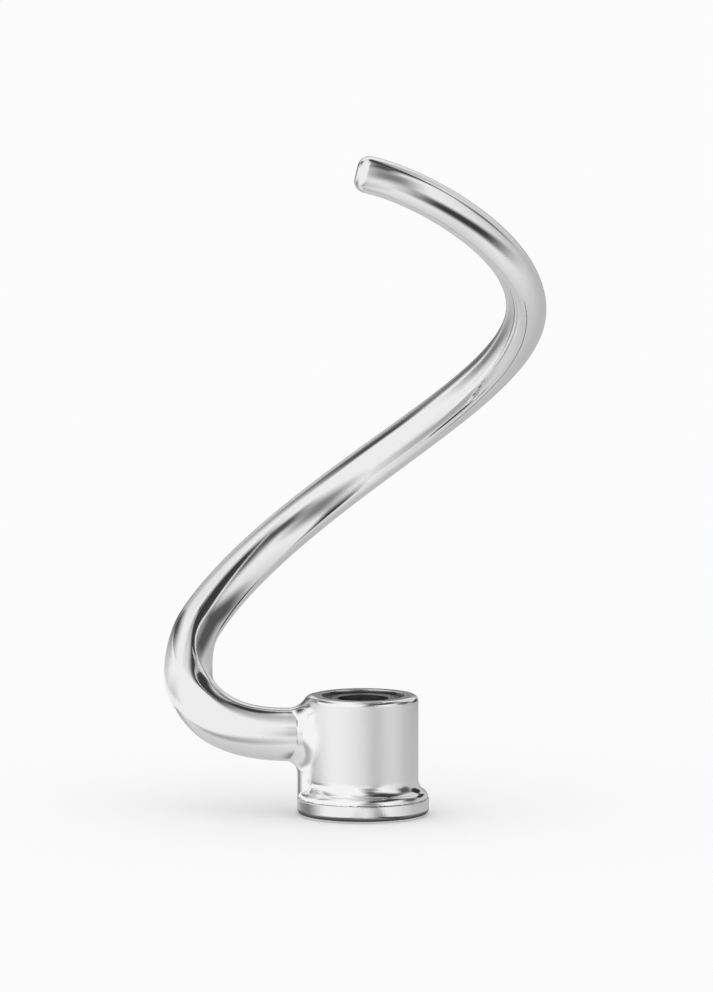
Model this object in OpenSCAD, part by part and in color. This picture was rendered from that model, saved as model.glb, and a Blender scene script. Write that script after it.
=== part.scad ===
// Spiral dough hook for a stand mixer.
// Z runs up the axis of the hub, and z = 0 is the face of the collar that meets the mixer. The arm
// leaves the hub towards -X, climbs once round the axis as a left-handed spiral and ends over -Y.

/* [Hub] */
// Outer diameter of the hub's barrel
hub_d = 28; // [26:0.1:30]
// Height of the hub, from the collar's face to its far end
hub_h = 30.4; // [29.5:0.1:40]
// Rounding of the hub's far edge and of the flare's rim
hub_edge_r = 1.25; // [0.6:0.05:1.25]
// Outer diameter of the flare at the barrel's foot
flare_d = 33; // [32:0.1:33.2]
// Slope of the flare's cone
flare_slope = 33.75; // [30:3.75:37.5]
// Height of the flare above the collar, measured where its cone would meet the barrel
flare_h = 2.85; // [2.8:0.05:3.5]
// Radius of the concave corner between flare and barrel
flare_r = 2.9; // [1:0.1:3]
// Width of the web above the arm's root
web_w = 3; // [2:0.1:5]
// Radius of the web's hollow edge, from the barrel to the arm
web_fillet_r = 5; // [3:0.1:5.5]

/* [Collar] */
// Outer diameter of the collar
collar_d = 33.4; // [33.2:0.1:40]
// Thickness of the collar
collar_h = 4.3; // [4:0.1:5]
// Rounding of the collar's edge at the mixer end
collar_low_r = 1.75; // [1:0.05:2.2]
// Rounding of the collar's edge at the barrel
collar_top_r = 0.25; // [0.1:0.05:0.8]

/* [Shaft socket] */
// Diameter of the bore that slides over the mixer's half-inch shaft
bore_d = 12.8; // [12.7:0.05:13.2]
// Outer diameter of the steel sleeve that lines the hub
sleeve_d = 16.4; // [15.8:0.1:17]
// How far the sleeve's ends stay inside the hub's ends
sleeve_inset = 0.8; // [0.4:0.1:1.5]
// Width of the bayonet slot for the shaft's drive pin
slot_w = 4.4; // [4:0.1:5]
// Distance from the shaft's axis to the floor of the bayonet slot
slot_reach = 9.7; // [9:0.1:9.9]
// Height of the slot's closed end above the collar's face
slot_h = 14; // [12:0.5:18]
// Angle through which the drive pin turns to lock
slot_turn = 42; // [20:1:60]

/* [Arm root] */
// Height of the arm's centre where it leaves the hub
root_z = 20.35; // [19:0.05:22]
// Distance from the hub's axis to the joint between boss and arm
boss_reach = 19; // [18:0.1:20]
// Diameter of the tenon that holds the arm in the hub
tenon_d = 8; // [6:0.5:10]
// Depth of the tenon behind the joint
tenon_depth = 9; // [5:0.5:10]
// Width of the rib that stiffens the arm's root
rib_w = 9; // [6:0.5:11]
// Radius of the fillet between the rib and the arm's underside
rib_fillet_r = 3; // [1:0.1:4]

/* [Spiral] */
// Angle behind the root at which the spiral proper begins
spiral_from = 24; // [20:1:30]
// Angle round the axis at which the arm ends
spiral_to = 268.2; // [250:0.5:280]
// Distance from the axis to the arm's centre where the spiral begins
reach_low = 46; // [42:0.1:50]
// Distance from the axis to the arm's centre at the tip
reach_tip = 37.4; // [34:0.1:42]
// How far the middle of the spiral swings out beyond an even narrowing
reach_swell = 0.55; // [-2:0.05:2]
// Height of the arm's centre where the spiral begins
height_low = 45.3; // [40:0.1:50]
// Height of the arm's centre at the tip
height_tip = 164.8; // [150:0.1:180]
// Slope of the arm where the spiral begins
slope_low = 31.2; // [25:0.1:40]
// Slope of the arm at the tip
slope_tip = 13.2; // [8:0.1:20]
// How far the middle of the spiral lies above or below an even climb
mid_shift = -2.9; // [-5:0.1:3]
// How far the spiral lies above an even climb before its middle, and below it after, when negative
late_shift = -3.5; // [-5:0.1:3]
// How far the spiral's two ends lie above or below an even climb, against its middle
third_shift = -0.55; // [-2:0.05:2]
// Pull of the root's curve at the hub
root_pull = 29.1; // [20:0.1:34]
// Pull of the root's curve where it joins the spiral
bend_pull = 11.7; // [10:0.1:22]

/* [Arm section] */
// Mean diameter of the arm at the hub
arm_d_root = 13.5; // [12:0.1:15]
// Mean diameter of the arm at its tip
arm_d_tip = 9.5; // [8:0.1:12]
// How quickly the arm thins out from the hub
taper_power = 2.2; // [1:0.1:3]
// How far the section is drawn out into an oval, as a share of its radius
oval = 0.034; // [0:0.001:0.04]
// How far the section is drawn out into three corners
three_lobes = 0.014; // [0:0.001:0.02]
// How far the section is drawn out into four corners
four_lobes = 0.026; // [0:0.001:0.026]
// How far the section is drawn out into five corners
five_lobes = 0.03; // [0:0.001:0.03]
// How far the section is drawn out into six corners
six_lobes = 0.007; // [0:0.001:0.008]
// Length of arm over which the round root takes on the cornered section
lobes_fade = 30; // [20:1:60]
// Turn of the section at the hub
turn_root = -55; // [-90:1:0]
// Turn of the section at the tip
turn_tip = 87; // [0:1:120]
// How late along the arm the section turns
turn_power = 1.75; // [1:0.05:3]
// Rounding of the arm's blunt end
tip_edge_r = 3; // [1:0.1:4]

/* [Hidden] */
$fn = 96;

hub_r = hub_d / 2;
collar_r = collar_d / 2;
sleeve_r = sleeve_d / 2;
boss_r = arm_d_root / 2;
flare_rim = flare_d / 2;
hub_spigot_r = 10.5;
mouth_chamfer = 0.7;
// How far the rib's face stays behind the collar's edge
rib_setback = 0.1;
rib_reach = collar_r - rib_setback;
// How deep the rib, web and tenon are sunk into the solids that carry them
sunk = 2;
// How far a cut runs on past the face it opens
past = 1;

root_steps = 26;
spiral_steps = 84;
round_steps = 40;
// Angles at which each lobe of the section points, from outward towards up
oval_angle = -38.2;
three_angle = 0;
four_angle = -44.4;
five_angle = 27.3;
six_angle = -17.7;

// Section: offset of the outline's tangent line whose normal points at angle a, and its slope.
// The lobes fade in with share k, so k = 0 is a circle.
function support(a, k) = 1 + k * (oval * cos(2 * (a - oval_angle))
    + three_lobes * cos(3 * (a - three_angle))
    + four_lobes * cos(4 * (a - four_angle)) + five_lobes * cos(5 * (a - five_angle))
    + six_lobes * cos(6 * (a - six_angle)));
function support_slope(a, k) = -k * (2 * oval * sin(2 * (a - oval_angle))
    + 3 * three_lobes * sin(3 * (a - three_angle)) + 4 * four_lobes * sin(4 * (a - four_angle))
    + 5 * five_lobes * sin(5 * (a - five_angle)) + 6 * six_lobes * sin(6 * (a - six_angle)));
function section_point(a, k) = [
    support(a, k) * cos(a) - support_slope(a, k) * sin(a),
    support(a, k) * sin(a) + support_slope(a, k) * cos(a)];

// Centre line: u runs from 0 to 1 along the spiral, t from 0 to 1 along the root's curve.
turn_total = spiral_to - spiral_from;
turn_arc = turn_total * PI / 180;
// A bulge that leaves both ends of the spiral, and its direction there, as they are.
function bulge(u) = 16 * pow(u * (1 - u), 2);
function spiral_height(u) = height_low + (height_tip - height_low) * (3 * pow(u, 2) - 2 * pow(u, 3))
    + tan(slope_low) * reach_low * turn_arc * (u - 2 * pow(u, 2) + pow(u, 3))
    + tan(slope_tip) * reach_tip * turn_arc * (pow(u, 3) - pow(u, 2))
    + bulge(u) * (mid_shift + late_shift * 2 * (2 * u - 1) + third_shift * (3 * pow(2 * u - 1, 2) - 1));
function spiral_reach(u) = reach_low + (reach_tip - reach_low) * u + reach_swell * bulge(u);
function spiral_point(u) = let (a = spiral_from + turn_total * u)
    [-spiral_reach(u) * cos(a), spiral_reach(u) * sin(a), spiral_height(u)];
nudge = 0.0005;
function unit(v) = v / norm(v);
spiral_start_dir = unit(spiral_point(nudge) - spiral_point(-nudge));
root_ends = [[-boss_reach, 0, root_z], [-boss_reach - root_pull, 0, root_z],
    spiral_point(0) - bend_pull * spiral_start_dir, spiral_point(0)];
function root_point(t) = pow(1 - t, 3) * root_ends[0] + 3 * pow(1 - t, 2) * t * root_ends[1]
    + 3 * (1 - t) * pow(t, 2) * root_ends[2] + pow(t, 3) * root_ends[3];
function root_dir(t) = unit(pow(1 - t, 2) * (root_ends[1] - root_ends[0])
    + 2 * (1 - t) * t * (root_ends[2] - root_ends[1]) + pow(t, 2) * (root_ends[3] - root_ends[2]));

line = [
    for (i = [0 : root_steps - 1]) root_point(i / root_steps),
    for (i = [0 : spiral_steps]) spiral_point(i / spiral_steps)];
line_dirs = [
    for (i = [0 : root_steps - 1]) root_dir(i / root_steps),
    for (i = [0 : spiral_steps]) unit(spiral_point(i / spiral_steps + nudge)
        - spiral_point(i / spiral_steps - nudge))];
lengths = [for (i = 0, s = 0; i < len(line); i = i + 1,
    s = s + (i < len(line) ? norm(line[i] - line[i - 1]) : 0)) s];
arm_length = lengths[len(line) - 1];

// Along the arm: radius, share of the lobes and turn of the section at length s.
function ease(x) = let (c = max(0, min(1, x))) c * c * (3 - 2 * c);
function arm_radius(s) = (arm_d_tip + (arm_d_root - arm_d_tip) * pow(1 - s / arm_length, taper_power)) / 2;
function lobe_share(s) = ease(s / lobes_fade);
function section_turn(s) = turn_root + (turn_tip - turn_root) * pow(s / arm_length, turn_power);

// One ring of the arm's skin about a point of the centre line.
function ring(centre, dir, radius, k, turned) = let (
    up = unit([0, 0, 1] - dir[2] * dir),
    out = cross(up, dir))
    [for (j = [0 : round_steps - 1]) let (
        p = section_point(j * 360 / round_steps - (1 - k) * turned, k),
        q = [p[0] * cos(turned) - p[1] * sin(turned), p[0] * sin(turned) + p[1] * cos(turned)])
        centre + radius * (q[0] * out + q[1] * up)];

// The blunt end: rings that draw in round an edge of tip_edge_r.
tip_dir = line_dirs[len(line) - 1];
tip_rings = [for (a = [15 : 15 : 90]) let (
    shrink = 1 - tip_edge_r * (1 - cos(a)) / arm_radius(arm_length))
    ring(line[len(line) - 1] + tip_edge_r * sin(a) * tip_dir, tip_dir,
        shrink * arm_radius(arm_length), 1, section_turn(arm_length))];
rings = concat(
    [for (i = [0 : len(line) - 1]) ring(line[i], line_dirs[i], arm_radius(lengths[i]),
        lobe_share(lengths[i]), section_turn(lengths[i]))],
    tip_rings);

module swept_arm() {
    n = round_steps;
    count = len(rings);
    points = [for (r = rings) each r];
    sides = [for (i = [0 : count - 2], j = [0 : n - 1]) let (
        a = i * n + j, b = i * n + (j + 1) % n) each [[a, a + n, b + n], [a, b + n, b]]];
    ends = [[for (j = [0 : n - 1]) j], [for (j = [n - 1 : -1 : 0]) (count - 1) * n + j]];
    polyhedron(points = points, faces = concat(sides, ends), convexity = 6);
}

module tenon(d, from, to) {
    translate([-to, 0, root_z]) rotate([0, 90, 0]) cylinder(d = d, h = to - from);
}

module spiral_arm() {
    color("silver") union() {
        swept_arm();
        tenon(tenon_d, boss_reach - tenon_depth, boss_reach + sunk);
    }
}

// The bayonet slot: straight in from the mixer end, then round to the locked place.
module slot_plan() {
    translate([0, -slot_w / 2]) square([slot_reach + past, slot_w]);
}

module bayonet_slot() {
    translate([0, 0, -past]) linear_extrude(slot_h - slot_w / 2 + past) intersection() {
        circle(slot_reach);
        slot_plan();
    }
    translate([0, 0, slot_h - slot_w]) linear_extrude(slot_w) intersection() {
        circle(slot_reach);
        union() {
            slot_plan();
            rotate(-slot_turn) slot_plan();
            polygon([[0, 0], 2 * slot_reach * [cos(slot_turn), -sin(slot_turn)], [2 * slot_reach, 0]]);
        }
    }
}

// Solid of the hub turned about its axis: barrel, conical flare, and the spigot inside the collar.
module hub_turned() {
    half_bend = (90 - flare_slope) / 2;
    flare_z = collar_h + flare_h;
    rim_z = flare_z - (flare_rim - hub_r) * tan(flare_slope);
    down = [cos(flare_slope), -sin(flare_slope)];
    rim_round = [flare_rim - hub_edge_r, rim_z - hub_edge_r * tan(half_bend)];
    hollow = [hub_r + flare_r, flare_z + flare_r * tan(half_bend)];
    rotate_extrude() difference() {
        union() {
            square([hub_r - hub_edge_r, hub_h]);
            square([hub_r, hub_h - hub_edge_r]);
            translate([hub_r - hub_edge_r, hub_h - hub_edge_r]) circle(hub_edge_r);
            polygon([[0, collar_h], [flare_rim, collar_h], [flare_rim, rim_round[1]],
                [flare_rim, rim_z] - hub_edge_r * tan(half_bend) * down,
                [hub_r, flare_z] + flare_r * tan(half_bend) * down, [hub_r, hollow[1]], [0, hollow[1]]]);
            translate(rim_round) circle(hub_edge_r);
        }
        translate(hollow) circle(flare_r);
        translate([hub_spigot_r, -past]) square([flare_rim, collar_h + past]);
    }
}

// The rib below the arm's root, with its fillet into the arm's underside.
module rib() {
    corner_z = root_z - boss_r;
    translate([0, rib_w / 2, 0]) rotate([90, 0, 0]) linear_extrude(rib_w) difference() {
        translate([-boss_reach, collar_h]) square([boss_reach - sleeve_r, root_z - collar_h]);
        translate([-rib_reach - rib_fillet_r, corner_z - rib_fillet_r]) circle(rib_fillet_r);
        translate([-boss_reach - past, 0])
            square([boss_reach + past - rib_reach, corner_z - rib_fillet_r]);
    }
}

// The web above the arm's root, hollowed from the barrel down to the arm.
module web() {
    boss_top = root_z + boss_r;
    hollow = [-hub_r - web_fillet_r, boss_top + web_fillet_r];
    translate([0, web_w / 2, 0]) rotate([90, 0, 0]) linear_extrude(web_w) difference() {
        translate([-boss_reach, root_z]) square([boss_reach + sunk - hub_r, hub_h - root_z]);
        translate(hollow) circle(web_fillet_r);
        translate([hollow[0] - boss_reach, boss_top]) square([boss_reach, hub_h]);
        translate([hollow[0], hollow[1]]) square([web_fillet_r, hub_h]);
    }
}

module hub() {
    color("gainsboro") difference() {
        union() {
            hub_turned();
            tenon(arm_d_root, hub_spigot_r, boss_reach);
            rib();
            web();
        }
        translate([0, 0, -past]) cylinder(d = sleeve_d, h = hub_h + 2 * past);
        translate([0, 0, hub_h - mouth_chamfer])
            cylinder(r1 = sleeve_r, r2 = sleeve_r + mouth_chamfer + past, h = mouth_chamfer + past);
        tenon(tenon_d, boss_reach - tenon_depth, boss_reach + past);
        bayonet_slot();
    }
}

module collar() {
    low_w = collar_r - collar_low_r - hub_spigot_r;
    top_w = collar_r - collar_top_r - hub_spigot_r;
    color("lightgray") rotate_extrude() {
        translate([hub_spigot_r, 0]) square([low_w, collar_h]);
        translate([hub_spigot_r, collar_low_r]) square([top_w, collar_h - collar_low_r]);
        translate([hub_spigot_r, collar_low_r])
            square([collar_r - hub_spigot_r, collar_h - collar_low_r - collar_top_r]);
        translate([hub_spigot_r + low_w, collar_low_r]) circle(collar_low_r);
        translate([hub_spigot_r + top_w, collar_h - collar_top_r]) circle(collar_top_r);
    }
}

module shaft_sleeve() {
    color("darkgray") difference() {
        translate([0, 0, sleeve_inset]) cylinder(d = sleeve_d, h = hub_h - 2 * sleeve_inset);
        translate([0, 0, -past]) cylinder(d = bore_d, h = hub_h + 2 * past);
        bayonet_slot();
    }
}

spiral_arm();
hub();
collar();
shaft_sleeve();
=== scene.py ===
# The looks of the spiral dough hook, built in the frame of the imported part.
# Lengths inside the shape functions are millimetres; every mesh is stored in metres.
import math

import bpy
import numpy as np
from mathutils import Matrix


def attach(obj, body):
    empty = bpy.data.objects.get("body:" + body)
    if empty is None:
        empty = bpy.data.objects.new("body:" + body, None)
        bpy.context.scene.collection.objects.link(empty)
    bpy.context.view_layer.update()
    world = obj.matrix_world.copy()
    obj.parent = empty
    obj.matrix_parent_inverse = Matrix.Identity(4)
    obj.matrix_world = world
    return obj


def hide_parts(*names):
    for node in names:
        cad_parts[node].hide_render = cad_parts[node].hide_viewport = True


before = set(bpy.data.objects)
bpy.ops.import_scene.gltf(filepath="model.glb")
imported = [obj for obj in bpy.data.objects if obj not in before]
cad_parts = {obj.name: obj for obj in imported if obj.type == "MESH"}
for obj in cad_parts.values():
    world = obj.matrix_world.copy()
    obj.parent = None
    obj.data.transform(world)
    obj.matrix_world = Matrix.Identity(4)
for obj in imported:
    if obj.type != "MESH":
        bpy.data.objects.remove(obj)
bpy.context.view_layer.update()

# ---------------------------------------------------------------- sizes, as in the part's source
HUB_R, HUB_H, HUB_EDGE_R = 14.0, 30.4, 1.3
# the flare at the barrel's foot: where its cone would meet the barrel, its slope, and its rim
FLARE_Z, FLARE_SLOPE, FLARE_BLEND, RIM_R, RIM_EDGE = 7.15, math.radians(56.25), 1.3, 16.5, 0.5
RIM_DRAFT = math.radians(8)
COLLAR_R, COLLAR_H, COLLAR_LOW_R, COLLAR_TOP_R = 16.7, 4.3, 1.75, 0.25
SPIGOT_R, SLEEVE_R, MOUTH_CHAMFER = 10.5, 8.2, 0.7
SLOT_W, SLOT_REACH, SLOT_H, SLOT_TURN = 4.4, 9.7, 14.0, math.radians(42)
ROOT_Z, BOSS_REACH = 20.35, 19.0
RIB_W, RIB_FILLET_R, WEB_FILLET_R = 9.0, 3.0, 5.0
# the rib's rounded nose, and how far it stays inside the collar's side
RIB_NOSE_R, RIB_INSET = 3.2, 0.1
# the rib's blend into the hub: narrow at the flare, wide from a little above it
RIB_BLEND_LOW, RIB_BLEND_RISE, RIB_BLEND_Z, RIB_BLEND_H = 0.3, 1.7, 7, 4
# the web's wider fillet: where it begins above the arm's centre line, and over what height it grows
WEB_FROM, WEB_H = 3, 4
# the boss is a hair proud of the arm's size, and sinks below the arm's skin towards its end
BOSS_PROUD, BOSS_SINK, BOSS_SINK_X, BOSS_SINK_RUN = 0.02, 0.06, 15.5, 2.5
# how far arm and boss run on inside each other, so that no seam shows
OVERLAP = 1.5
ARM_SUNK, ARM_SUNK_LAST, ARM_SUNK_N = 2.5, 0.25, 10
COLLAR_GAP = 0.03

SPIRAL_FROM, SPIRAL_TO = math.radians(24), math.radians(268.2)
REACH_LOW, REACH_TIP, REACH_SWELL = 46.0, 37.4, 0.55
HEIGHT_LOW, HEIGHT_TIP = 45.3, 164.8
SLOPE_LOW, SLOPE_TIP = math.radians(31.2), math.radians(13.2)
MID_SHIFT, LATE_SHIFT, THIRD_SHIFT = -2.9, -3.5, -0.55
ROOT_PULL, BEND_PULL = 29.1, 11.7
ARM_D_ROOT, ARM_D_TIP, TAPER_POWER = 13.5, 9.5, 2.2
# the section's lobes: how often round, share of the radius, and where each points, in degrees
LOBES = ((2, 0.034, -38.2), (3, 0.014, 0.0), (4, 0.026, -44.4), (5, 0.03, 27.3), (6, 0.007, -17.7))
LOBES_FADE = 30.0
TURN_ROOT, TURN_TIP, TURN_POWER = -55.0, 87.0, 1.75
TIP_EDGE_R = 3.0
# the tip's edge is stepped round from this angle, in degrees, so that no ring doubles the last one
TIP_EDGE_FROM, TIP_EDGE_N = 3, 30


# ---------------------------------------------------------------- the arm's centre line and section
def ease(x):
    x = np.clip(x, 0, 1)
    return x * x * (3 - 2 * x)


def unit(v):
    return v / np.linalg.norm(v, axis=-1, keepdims=True)


def spiral_point(u):
    """Points of the spiral, from its low end at u = 0 to the tip at u = 1."""
    total = SPIRAL_TO - SPIRAL_FROM
    bulge = 16 * (u * (1 - u)) ** 2
    z = (HEIGHT_LOW + (HEIGHT_TIP - HEIGHT_LOW) * (3 * u**2 - 2 * u**3)
         + math.tan(SLOPE_LOW) * REACH_LOW * total * (u - 2 * u**2 + u**3)
         + math.tan(SLOPE_TIP) * REACH_TIP * total * (u**3 - u**2)
         + bulge * (MID_SHIFT + LATE_SHIFT * 2 * (2 * u - 1) + THIRD_SHIFT * (3 * (2 * u - 1) ** 2 - 1)))
    a = SPIRAL_FROM + total * u
    r = REACH_LOW + (REACH_TIP - REACH_LOW) * u + REACH_SWELL * bulge
    return np.stack([-r * np.cos(a), r * np.sin(a), z], -1)


def arm_line(root_n=90, spiral_n=420):
    """Points, tangents and lengths along the arm's centre line, evenly close together."""
    nudge = 5e-4
    start = spiral_point(np.array([0.0]))[0]
    ahead = unit(spiral_point(np.array([nudge]))[0] - spiral_point(np.array([-nudge]))[0])
    p0 = np.array([-BOSS_REACH, 0, ROOT_Z])
    ends = [p0, p0 - [ROOT_PULL, 0, 0], start - BEND_PULL * ahead, start]
    t = (np.arange(root_n) / root_n)[:, None]
    root = ((1 - t)**3 * ends[0] + 3 * (1 - t)**2 * t * ends[1]
            + 3 * (1 - t) * t**2 * ends[2] + t**3 * ends[3])
    sunk = p0 + np.linspace(ARM_SUNK, ARM_SUNK_LAST, ARM_SUNK_N)[:, None] * [1, 0, 0]
    points = np.concatenate([sunk, root, spiral_point(np.linspace(0, 1, spiral_n + 1))])
    tangents = unit(np.gradient(points, axis=0))
    tangents[0] = [-1, 0, 0]
    steps = np.linalg.norm(np.diff(points, axis=0), axis=1)
    lengths = np.concatenate([[0], np.cumsum(steps)])
    return points, tangents, np.maximum(lengths - lengths[len(sunk)], 0)


def section(angles, share):
    """Outline of the arm's section, mean radius 1, by the angle of its normal."""
    h = np.ones_like(angles)
    slope = np.zeros_like(angles)
    for m, size, at in LOBES:
        h += share * size * np.cos(m * (angles - math.radians(at)))
        slope -= share * size * m * np.sin(m * (angles - math.radians(at)))
    return h * np.cos(angles) - slope * np.sin(angles), h * np.sin(angles) + slope * np.cos(angles)


def arm_radius(s, length):
    return (ARM_D_TIP + (ARM_D_ROOT - ARM_D_TIP) * (1 - s / length) ** TAPER_POWER) / 2


def arm_turn(s, length):
    return np.radians(TURN_ROOT + (TURN_TIP - TURN_ROOT) * (s / length) ** TURN_POWER)


def arm_rings(around=128):
    """Rings of points along the arm, from inside the boss to the middle of the tip's blunt end."""
    points, tangents, lengths = arm_line()
    length = lengths[-1]
    radius = arm_radius(lengths, length)
    share = ease(lengths / LOBES_FADE)
    turn = arm_turn(lengths, length)
    # the blunt end draws in round an edge of its own radius
    a = np.radians(np.linspace(TIP_EDGE_FROM, 90, TIP_EDGE_N))
    end = points[-1] + TIP_EDGE_R * np.sin(a)[:, None] * tangents[-1]
    points = np.concatenate([points, end])
    tangents = np.concatenate([tangents, np.repeat(tangents[-1:], len(a), 0)])
    radius = np.concatenate([radius, radius[-1] - TIP_EDGE_R * (1 - np.cos(a))])
    share = np.concatenate([share, np.repeat(share[-1:], len(a))])
    turn = np.concatenate([turn, np.repeat(turn[-1:], len(a))])
    up = unit(np.array([0, 0, 1.0]) - tangents[:, 2:3] * tangents)
    out = np.cross(up, tangents)
    psi = np.arange(around) * 2 * math.pi / around
    rings = []
    for i in range(len(points)):
        x, y = section(psi - (1 - share[i]) * turn[i], share[i])
        c, s = math.cos(turn[i]), math.sin(turn[i])
        x, y = x * c - y * s, x * s + y * c
        rings.append(points[i] + radius[i] * (x[:, None] * out[i] + y[:, None] * up[i]))
    return np.array(rings)


# ---------------------------------------------------------------- mesh helpers
def new_piece(name, points_mm, faces, material):
    """A smooth piece of the object, from points in millimetres, riding on root."""
    mesh = bpy.data.meshes.new(name)
    mesh.from_pydata((np.asarray(points_mm) / 1000).tolist(), [], faces)
    mesh.validate()
    mesh.update()
    obj = bpy.data.objects.new(name, mesh)
    bpy.context.scene.collection.objects.link(obj)
    mesh.materials.append(material)
    mesh.shade_smooth()
    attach(obj, "root")
    return obj


def set_normals(obj, normals):
    obj.data.normals_split_custom_set_from_vertices(np.asarray(normals).tolist())


def lathe(profile, around=192):
    """A closed profile of (r, z) turned about Z."""
    profile = np.asarray(profile)
    n = len(profile)
    a = np.arange(around) * 2 * math.pi / around
    points = np.stack([np.outer(np.cos(a), profile[:, 0]), np.outer(np.sin(a), profile[:, 0]),
                       np.tile(profile[:, 1], (around, 1))], -1).reshape(-1, 3)
    faces = []
    for i in range(around):
        k = (i + 1) % around
        for j in range(n):
            m = (j + 1) % n
            faces.append((i * n + j, k * n + j, k * n + m, i * n + m))
    return points, faces


def arc(cx, cz, r, a0, a1, n):
    a = np.radians(np.linspace(a0, a1, n))
    return [(cx + r * math.cos(t), cz + r * math.sin(t)) for t in a]


# ---------------------------------------------------------------- the hub as a distance field
def round_union(a, b, r):
    return np.maximum(r, np.minimum(a, b)) - np.hypot(np.maximum(r - a, 0), np.maximum(r - b, 0))


def round_overlap(a, b, r):
    return np.minimum(-r, np.maximum(a, b)) + np.hypot(np.maximum(r + a, 0), np.maximum(r + b, 0))


def hub_field(p):
    """Signed distance to the hub's skin, near enough, for points p in millimetres."""
    x, y, z = p[..., 0], p[..., 1], p[..., 2]
    r = np.hypot(x, y)
    # barrel with a rounded far edge
    barrel = round_overlap(r - HUB_R, z - HUB_H, HUB_EDGE_R)
    cone = (r - HUB_R) * math.cos(FLARE_SLOPE) + (z - FLARE_Z) * math.sin(FLARE_SLOPE)
    rim = (r - RIM_R) * math.cos(RIM_DRAFT) + (z - COLLAR_H) * math.sin(RIM_DRAFT)
    body = round_union(barrel, round_overlap(cone, rim, RIM_EDGE), FLARE_BLEND)
    # the rib below the arm, blended wide into the barrel and narrow into the flare
    half = (COLLAR_R - RIB_INSET) / 2
    qx, qy = np.abs(x + half) - (half - RIB_NOSE_R), np.abs(y) - (RIB_W / 2 - RIB_NOSE_R)
    beside = np.hypot(np.maximum(qx, 0), np.maximum(qy, 0))
    rib = np.minimum(np.maximum(qx, qy), 0) + beside - RIB_NOSE_R
    rib = np.maximum(rib, z - ROOT_Z)
    body = round_union(body, rib, RIB_BLEND_LOW + RIB_BLEND_RISE * ease((z - RIB_BLEND_Z) / RIB_BLEND_H))
    # the round root of the arm, sunk a little below the arm's skin where the two overlap;
    # its fillet widens towards the top, where it is the web
    boss_r = ARM_D_ROOT / 2 + BOSS_PROUD - BOSS_SINK * ease((-x - BOSS_SINK_X) / BOSS_SINK_RUN)
    boss = np.maximum(np.hypot(y, z - ROOT_Z) - boss_r, x)
    web_share = ease((z - ROOT_Z - WEB_FROM) / WEB_H)
    body = round_union(body, boss, RIB_FILLET_R + (WEB_FILLET_R - RIB_FILLET_R) * web_share)
    # cut where the arm takes over
    body = np.maximum(body, -(x + BOSS_REACH + OVERLAP))
    # Known fault: this cuts away all that is below the collar's top, and all that is inside the spigot's
    # radius at any height. part.scad cuts only where both hold. The bore, mouth and slot below belong
    # to the true shape, and remove nothing while this cut is too wide.
    body = np.maximum(body, np.maximum(COLLAR_H - z, SPIGOT_R - r))
    # bore, its chamfered mouth, and the bayonet slot
    mouth = (r - SLEEVE_R - (z - (HUB_H - MOUTH_CHAMFER))) / math.sqrt(2)
    body = np.maximum(body, -np.minimum(r - SLEEVE_R, mouth))
    reach = r - SLOT_REACH
    straight = np.maximum(np.maximum(np.abs(y) - SLOT_W / 2, -x), reach)
    entry = np.maximum(straight, z - (SLOT_H - SLOT_W / 2))
    c, s = math.cos(SLOT_TURN), -math.sin(SLOT_TURN)
    along, across = x * c + y * s, -x * s + y * c
    turned = np.maximum(np.maximum(np.abs(across) - SLOT_W / 2, -along), reach)
    wedge = np.maximum(np.maximum(y, -across), reach)
    lock = np.minimum(np.minimum(straight, turned), wedge)
    lock = np.maximum(lock, np.maximum(z - SLOT_H, SLOT_H - SLOT_W - z))
    return np.maximum(body, -np.minimum(entry, lock))


def field_normals(field, p, h=0.02):
    """Which way the field grows at p, taken over twice the length h."""
    n = np.stack([field(p + np.eye(3)[i] * h) - field(p - np.eye(3)[i] * h) for i in range(3)], -1)
    return n / np.maximum(np.linalg.norm(n, axis=-1, keepdims=True), 1e-9)


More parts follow.
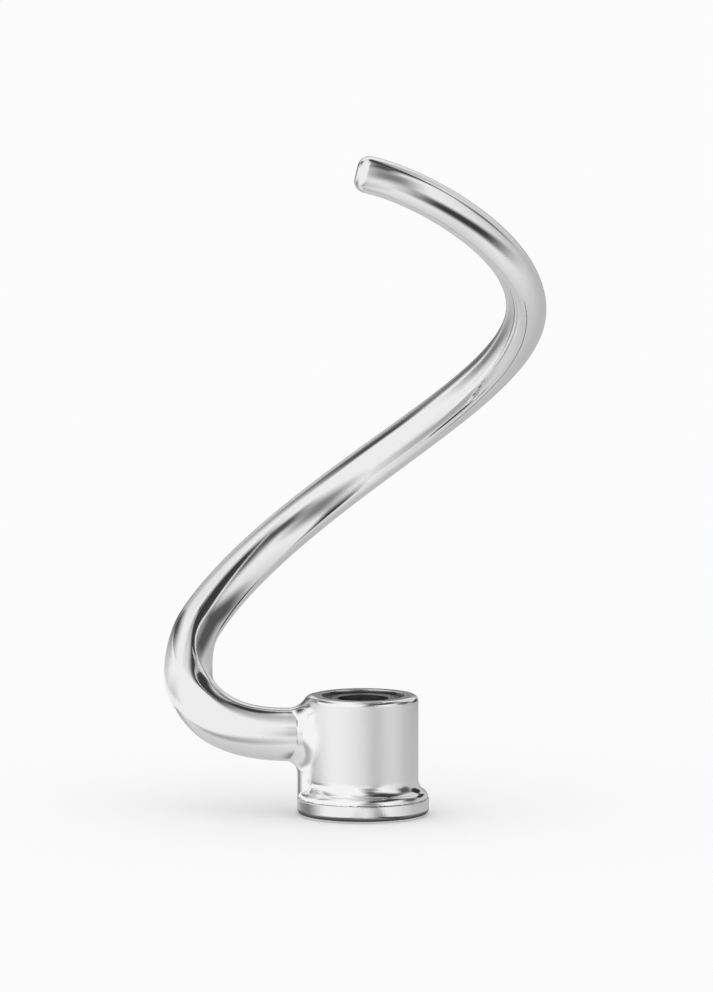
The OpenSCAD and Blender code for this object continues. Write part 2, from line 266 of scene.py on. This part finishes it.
def skin_of(field, lo, hi, step, pulls=3, pull_limit=0.4, normal_h=0.05):
    """Surface nets: a closed quad mesh of the zero level of a distance field.
    Its points are then pulled onto the level a few times, each by a share of a cell at most."""
    lo, hi = np.array(lo, float), np.array(hi, float)
    size = np.ceil((hi - lo) / step).astype(int) + 1
    axes = [lo[i] + step * np.arange(size[i]) for i in range(3)]
    grid = np.stack(np.meshgrid(*axes, indexing="ij"), -1)
    d = field(grid)
    inside = d < 0
    total = np.zeros(tuple(size - 1) + (3,))
    count = np.zeros(tuple(size - 1))
    crossings = []
    for axis in range(3):
        a, b = [slice(None)] * 3, [slice(None)] * 3
        a[axis], b[axis] = slice(0, -1), slice(1, None)
        da, db = d[tuple(a)], d[tuple(b)]
        cross = inside[tuple(a)] != inside[tuple(b)]
        t = np.where(cross, da / np.where(cross, da - db, 1), 0)
        at = grid[tuple(a)].copy()
        at[..., axis] += t * step
        crossings.append(cross)
        others = [i for i in range(3) if i != axis]
        for s0 in (0, 1):
            for s1 in (0, 1):
                pick = [slice(None)] * 3
                pick[others[0]] = slice(s0, size[others[0]] - 1 + s0)
                pick[others[1]] = slice(s1, size[others[1]] - 1 + s1)
                c = cross[tuple(pick)]
                total += np.where(c[..., None], at[tuple(pick)], 0)
                count += c
    cells = count > 0
    index = np.full(cells.shape, -1)
    index[cells] = np.arange(cells.sum())
    points = total[cells] / count[cells][:, None]
    faces = []
    for axis in range(3):
        o0, o1 = [(1, 2), (2, 0), (0, 1)][axis]
        where = np.argwhere(crossings[axis])
        keep = (where[:, o0] > 0) & (where[:, o1] > 0)
        keep &= (where[:, o0] < size[o0] - 1) & (where[:, o1] < size[o1] - 1)
        where = where[keep]
        quad = []
        for s0, s1 in ((0, 0), (1, 0), (1, 1), (0, 1)):
            w = where.copy()
            w[:, o0] -= s0
            w[:, o1] -= s1
            quad.append(index[w[:, 0], w[:, 1], w[:, 2]])
        quad = np.stack(quad, -1)
        flip = ~inside[where[:, 0], where[:, 1], where[:, 2]]
        quad[flip] = quad[flip][:, ::-1]
        faces.append(quad)
    faces = np.concatenate(faces)
    for _ in range(pulls):
        n = field_normals(field, points)
        move = np.clip(field(points), -pull_limit * step, pull_limit * step)
        points = points - move[:, None] * n
    return points, faces, field_normals(field, points, normal_h)


# ---------------------------------------------------------------- materials
STEEL_IOR = 2.5
GRAIN_DETAIL, BUMP_DEPTH = 4, 0.0001
# where the barrel's matt wall fades out, in metres: above the flare, below the far edge, outside the skin
WALL_LOW, WALL_TOP, WALL_OUT = (0.0085, 0.0100), (0.0290, 0.0298), (0.0141, 0.0146)
# and where the mouth's chamfer fades out: outside its radius, and below it
MOUTH_OUT, MOUTH_LOW = (0.0086, 0.0092), (0.0290, 0.0295)


def steel(name, base, roughness, spread, grain, bump, matt=None):
    """Stainless steel: metallic, with fine noise in its roughness and height.
    matt is the roughness of the barrel's wall and mouth, which aren't polished as its edges are."""
    mat = bpy.data.materials.new(name)
    mat.use_nodes = True
    nodes, links = mat.node_tree.nodes, mat.node_tree.links

    def between(value, *limits):
        node = nodes.new("ShaderNodeMapRange")
        node.interpolation_type = "SMOOTHSTEP"
        for socket, limit in zip(("From Min", "From Max", "To Min", "To Max"), limits):
            node.inputs[socket].default_value = limit
        links.new(value, node.inputs["Value"])
        return node.outputs["Result"]

    def maths(operation, *values):
        node = nodes.new("ShaderNodeMath")
        node.operation = operation
        for socket, value in zip(node.inputs, values):
            if isinstance(value, float):
                socket.default_value = value
            else:
                links.new(value, socket)
        return node.outputs[0]

    bsdf = nodes["Principled BSDF"]
    bsdf.inputs["Base Color"].default_value = (base, base, base, 1)
    bsdf.inputs["Metallic"].default_value = 1.0
    bsdf.inputs["IOR"].default_value = STEEL_IOR
    coords = nodes.new("ShaderNodeTexCoord")
    noise = nodes.new("ShaderNodeTexNoise")
    noise.inputs["Scale"].default_value = grain
    noise.inputs["Detail"].default_value = GRAIN_DETAIL
    links.new(coords.outputs["Object"], noise.inputs["Vector"])
    rough = between(noise.outputs["Fac"], 0, 1, roughness - spread, roughness + spread)
    if matt is not None:
        split = nodes.new("ShaderNodeSeparateXYZ")
        links.new(coords.outputs["Object"], split.inputs[0])
        x, y, z = split.outputs
        r = maths("SQRT", maths("ADD", maths("MULTIPLY", x, x), maths("MULTIPLY", y, y)))
        wall = maths("MULTIPLY", between(z, *WALL_LOW, 0, 1), between(z, *WALL_TOP, 1, 0))
        wall = maths("MULTIPLY", wall, between(r, *WALL_OUT, 1, 0))
        mouth = maths("MULTIPLY", between(r, *MOUTH_OUT, 1, 0), between(z, *MOUTH_LOW, 0, 1))
        rough = maths("ADD", rough, maths("MULTIPLY", maths("MAXIMUM", wall, mouth), matt - roughness))
    links.new(rough, bsdf.inputs["Roughness"])
    bump_node = nodes.new("ShaderNodeBump")
    bump_node.inputs["Strength"].default_value = bump
    bump_node.inputs["Distance"].default_value = BUMP_DEPTH
    links.new(noise.outputs["Fac"], bump_node.inputs["Height"])
    links.new(bump_node.outputs["Normal"], bsdf.inputs["Normal"])
    return mat


polished = steel("polished_steel", 0.84, 0.06, 0.02, 900, 0.02)
satin = steel("satin_steel", 0.90, 0.10, 0.03, 1400, 0.04, 0.40)
# painted shade: the shaft sleeve inside the bore gets a near-black steel, darkened for the shade deep in
# the bore
dark = steel("dark_steel", 0.16, 0.40, 0.05, 1400, 0.2)

# ---------------------------------------------------------------- the pieces
def build_arm():
    rings = arm_rings()
    count, around = rings.shape[:2]
    faces = [(i * around + j, (i + 1) * around + j, (i + 1) * around + (j + 1) % around,
              i * around + (j + 1) % around) for i in range(count - 1) for j in range(around)]
    faces.append(tuple((count - 1) * around + j for j in range(around))[::-1])
    faces.append(tuple(range(around)))
    arm = new_piece("arm_polished", rings.reshape(-1, 3), faces, polished)
    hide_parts("spiral_arm")


def build_hub():
    low, high, cell = (-22, -18, -1.2), (18, 18, 32.2), 0.3
    points, quads, normals = skin_of(hub_field, low, high, cell)
    hub = new_piece("hub_cast", points, quads.tolist(), satin)
    set_normals(hub, normals)
    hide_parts("hub")


def build_collar(low_n=20, top_n=12):
    inner = SPIGOT_R + COLLAR_GAP
    profile = ([(inner, 0.0)]
               + arc(COLLAR_R - COLLAR_LOW_R, COLLAR_LOW_R, COLLAR_LOW_R, -90, 0, low_n)
               + arc(COLLAR_R - COLLAR_TOP_R, COLLAR_H - COLLAR_TOP_R, COLLAR_TOP_R, 0, 90, top_n)
               + [(inner, COLLAR_H)])
    points, faces = lathe(profile)
    collar = new_piece("collar_ring", points, faces, polished)
    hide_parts("collar")


def dress_sleeve():
    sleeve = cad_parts["shaft_sleeve"]
    # the sleeve deep in the bore wears the painted-shade steel
    sleeve.data.materials.clear()
    sleeve.data.materials.append(dark)


build_arm()
build_hub()
build_collar()
dress_sleeve()


# ---------------------------------------------------------------- stage: cards, floor, world, camera
def flat_material(name, grey):
    """A plain glow of one grey, as far as the mesh's own cover attribute lets it show."""
    mat = bpy.data.materials.new(name)
    mat.use_nodes = True
    nodes, links = mat.node_tree.nodes, mat.node_tree.links
    nodes.clear()
    out = nodes.new("ShaderNodeOutputMaterial")
    emit = nodes.new("ShaderNodeEmission")
    emit.inputs["Color"].default_value = (grey, grey, grey, 1)
    emit.inputs["Strength"].default_value = 1.0
    clear = nodes.new("ShaderNodeBsdfTransparent")
    mix = nodes.new("ShaderNodeMixShader")
    cover = nodes.new("ShaderNodeAttribute")
    cover.attribute_name = "cover"
    links.new(cover.outputs["Fac"], mix.inputs["Fac"])
    links.new(clear.outputs[0], mix.inputs[1])
    links.new(emit.outputs[0], mix.inputs[2])
    links.new(mix.outputs[0], out.inputs["Surface"])
    return mat


def glossy_only(obj):
    """Staging that only reflections see."""
    obj.visible_camera = obj.visible_diffuse = obj.visible_shadow = False
    obj.visible_transmission = obj.visible_volume_scatter = False


def card(name, grey, az, el, half_az, half_el, tilt, soft, radius, height=80, n=40, squareness=4):
    """A soft-edged card of the studio, on a sphere round the hook: only reflections see it.
    az is 0 behind the hook and 90 to its right; angles in degrees, radius and height in mm."""
    p, q = np.meshgrid(np.linspace(-1, 1, n), np.linspace(-1, 1, n), indexing="ij")
    grow = 1 + soft
    ca, sa = math.cos(math.radians(tilt)), math.sin(math.radians(tilt))
    a = half_az * grow * p
    b = half_el * grow * q
    a, b = a * ca - b * sa, a * sa + b * ca
    centre = np.radians([az, el])
    a, b = np.radians(a), np.radians(b)
    # the card is laid out about its own centre, then turned to its place
    d = np.stack([np.sin(a) * np.cos(b), np.cos(a) * np.cos(b), np.sin(b)], -1)
    ce, se = math.cos(centre[1]), math.sin(centre[1])
    d = np.stack([d[..., 0], d[..., 1] * ce - d[..., 2] * se, d[..., 1] * se + d[..., 2] * ce], -1)
    cz, sz = math.cos(centre[0]), math.sin(centre[0])
    d = np.stack([d[..., 0] * cz + d[..., 1] * sz, -d[..., 0] * sz + d[..., 1] * cz, d[..., 2]], -1)
    points = radius * d + [0, 0, height]
    faces = [(i * n + j, (i + 1) * n + j, (i + 1) * n + j + 1, i * n + j + 1)
             for i in range(n - 1) for j in range(n - 1)]
    mesh = bpy.data.meshes.new(name)
    mesh.from_pydata((points.reshape(-1, 3) / 1000).tolist(), [], faces)
    level = (np.abs(p) ** squareness + np.abs(q) ** squareness) ** (1 / squareness) * grow
    cover = ease((1 + soft - level) / (2 * soft))
    mesh.attributes.new("cover", "FLOAT", "POINT").data.foreach_set("value", cover.ravel())
    mesh.materials.append(flat_material(name, grey))
    obj = bpy.data.objects.new(name, mesh)
    bpy.context.scene.collection.objects.link(obj)
    glossy_only(obj)


def painted_shadow_ring(name, grey, inner, outer, z, around=96, rings=12):
    """A painted contact shadow: a dark glowing ring on the floor round the collar, which only the steel's
    reflections see.
    """
    a = np.arange(around) * 2 * math.pi / around
    share = np.linspace(0, 1, rings)
    radii = share * (outer - inner) + inner
    points = [(r * math.cos(t), r * math.sin(t), z) for r in radii for t in a]
    faces = [(i * around + j, i * around + (j + 1) % around,
              (i + 1) * around + (j + 1) % around, (i + 1) * around + j)
             for i in range(rings - 1) for j in range(around)]
    mesh = bpy.data.meshes.new(name)
    mesh.from_pydata((np.array(points) / 1000).tolist(), [], faces)
    cover = np.repeat(1 - ease(share), around)
    mesh.attributes.new("cover", "FLOAT", "POINT").data.foreach_set("value", cover)
    mesh.materials.append(flat_material(name, grey))
    obj = bpy.data.objects.new(name, mesh)
    bpy.context.scene.collection.objects.link(obj)
    glossy_only(obj)


# the cards on the wide sphere, each in front of the one before it
CARD_R, CARD_STEP = 1400, 25
CARDS = (
    # name, grey, az, el, half az, half el, tilt, softness
    ("card_low", 0.7, -55, -75, 35, 55, -40, 0.8),
    ("card_right_grey", 0.55, 40, -15, 65, 40, 25, 0.7),
    ("card_zenith", 0.5, 35, 70, 40, 10, 80, 0.6),
    ("card_left_up", 0.08, -55, 38, 24, 12, -20, 0.8),
    ("card_left_mid", 0.12, -20, 10, 12, 30, 75, 0.8),
    ("card_left_low", 0.25, -60, -15, 30, 10, -10, 0.8),
    ("card_left_under", 0.45, -135, -40, 35, 10, -15, 0.8),
    ("card_right_mid", 0.1, 80, 20, 15, 20, 40, 0.6),
    ("card_right_under", 0.05, 130, -30, 30, 10, 20, 0.6),
    ("card_camera_side", 0.25, 165, 10, 15, 15, 15, 0.8),
    ("card_leg", 0.9, -20, 45, 10, 30, 15, 0.6),
    ("card_behind", 0.05, 20, 65, 15, 10, 50, 0.4),
    ("card_over", 0.05, 110, 60, 30, 20, -5, 0.4),
    ("card_right_high", 0.1, 160, 40, 15, 10, -50, 0.7),
)
for i, values in enumerate(CARDS):
    card(*values, CARD_R - CARD_STEP * i)
# two small cards beside the hub, outside the hook's box; their last two values are radius and height
card("card_hub_left", 1.0, -80, 0, 52, 8, 0, 0.3, 110, 15)
card("card_hub_back", 0.03, 50, 20, 16, 8, 0, 0.15, 84, 6)
# a painted contact shadow at the collar's foot: a dark glowing ring that only reflections see
painted_shadow_ring("painted_contact_shadow", 0.06, 16, 23, 0.05)


def build_floor(radius=9, around=96, grey=0.97):
    """A wide pale floor, in metres. Reflections don't see it: they have the world and the cards."""
    a = np.arange(around) * 2 * math.pi / around
    mesh = bpy.data.meshes.new("floor")
    mesh.from_pydata([(radius * math.cos(t), radius * math.sin(t), 0.0) for t in a], [],
                     [tuple(range(around))])
    floor = bpy.data.objects.new("floor", mesh)
    bpy.context.scene.collection.objects.link(floor)
    paper = bpy.data.materials.new("floor_white")
    paper.use_nodes = True
    bsdf = paper.node_tree.nodes["Principled BSDF"]
    bsdf.inputs["Base Color"].default_value = (grey, grey, grey, 1)
    bsdf.inputs["Roughness"].default_value = 1.0
    bsdf.inputs["Specular IOR Level"].default_value = 0.0
    mesh.materials.append(paper)
    floor.visible_glossy = False


def build_world():
    """Plain white light from all sides."""
    world = bpy.data.worlds.new("studio")
    bpy.context.scene.world = world
    world.use_nodes = True
    background = world.node_tree.nodes["Background"]
    background.inputs["Color"].default_value = (1, 1, 1, 1)
    background.inputs["Strength"].default_value = 1.0


def build_camera():
    """The photograph's view: the lens in millimetres, places in metres."""
    lens, distance, elevation = 288.1, 2.0, math.radians(6.5)
    aim = np.array([-0.00164, 0, 0.081])
    camera = bpy.data.objects.new("camera", bpy.data.cameras.new("camera"))
    bpy.context.scene.collection.objects.link(camera)
    camera.data.lens = lens
    camera.data.clip_start, camera.data.clip_end = 0.05, 20
    back = np.array([0, -math.cos(elevation), math.sin(elevation)])
    camera.location = (aim + distance * back).tolist()
    camera.rotation_euler = (math.pi / 2 - elevation, 0, 0)
    bpy.context.scene.camera = camera


build_floor()
build_world()
build_camera()
bpy.context.scene.view_settings.view_transform = "Standard"
